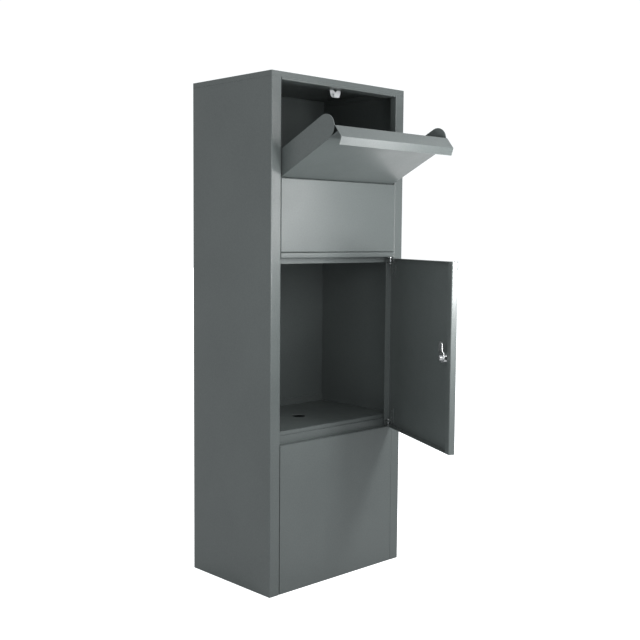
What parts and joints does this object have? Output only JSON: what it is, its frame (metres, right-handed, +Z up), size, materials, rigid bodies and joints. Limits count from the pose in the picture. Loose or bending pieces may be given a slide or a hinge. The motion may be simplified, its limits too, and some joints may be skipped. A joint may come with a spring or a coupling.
{
  "type": "parcel drop box",
  "caption": "Floor-standing steel parcel drop box with a bottom-hinged hopper flap above a lockable collection door and a closed plinth.",
  "frame": {"origin": "centre of the base plate's underside, on the floor", "axes": "+Z up, -Y out of the front with the hopper and the door, +X to the right seen from the front"},
  "size_m": [0.44, 0.6248, 1.2],
  "materials": {
    "powder_coat": "dark grey semi-gloss powder coat with a fine texture",
    "zinc_plate": "bright zinc plate",
    "lock_chrome": "polished chrome",
    "nylon": "black moulded nylon"
  },
  "bodies": {
    "cabinet": {"top_cap": "powder_coat", "back_panel": "powder_coat", "base_plate": "powder_coat", "left_side_panel": "powder_coat", "right_side_panel": "powder_coat", "lower_front_panel": "powder_coat", "door_header": "powder_coat", "middle_front_panel": "powder_coat", "top_header": "powder_coat", "compartment_floor": "powder_coat", "floor_bracket_left": "powder_coat", "floor_bracket_right": "powder_coat", "parcel_chute": "powder_coat", "catch_bracket": "zinc_plate", "catch_magnet": "zinc_plate", "catch_screw_left": "zinc_plate", "catch_screw_right": "zinc_plate", "hopper_pivot_bush_left": "nylon", "hopper_pivot_bush_right": "nylon"},
    "hopper": {"hopper_panel": "powder_coat", "hopper_pull_lip": "powder_coat", "hopper_strike_plate": "zinc_plate", "hopper_cheek_left": "powder_coat", "hopper_cheek_right": "powder_coat", "hopper_pivot_pin_left": "zinc_plate", "hopper_pivot_pin_right": "zinc_plate", "hopper_stop_pin_left": "nylon", "hopper_stop_pin_right": "nylon"},
    "door": {"door_panel": "powder_coat", "door_hinge_bracket_upper": "powder_coat", "door_hinge_bracket_lower": "powder_coat", "door_hinge_pin_upper": "zinc_plate", "door_hinge_pin_lower": "zinc_plate", "door_hinge_rivet_upper_1": "powder_coat", "door_hinge_rivet_upper_2": "powder_coat", "door_hinge_rivet_lower_1": "powder_coat", "door_hinge_rivet_lower_2": "powder_coat", "lock_housing": "lock_chrome", "lock_nut": "lock_chrome"},
    "lock_core": {"lock_plug": "lock_chrome", "lock_cam": "zinc_plate", "lock_cam_bolt": "zinc_plate"}
  },
  "joints": [
    {"name": "hopper_hinge", "type": "hinge", "parent": "cabinet", "child": "hopper", "pos_m": [0, -0.14, 0.972], "axis": [1, 0, 0], "range_deg": [-64, 0]},
    {"name": "door_hinge", "type": "hinge", "parent": "cabinet", "child": "door", "pos_m": [0.183, -0.1415, 0.567], "axis": [0, 0, 1], "range_deg": [-65, 40]},
    {"name": "lock_turn", "type": "hinge", "parent": "door", "child": "lock_core", "pos_m": [0.03164, -0.44717, 0.567], "axis": [0.9063, -0.4226, 0], "range_deg": [0, 90]}
  ]
}
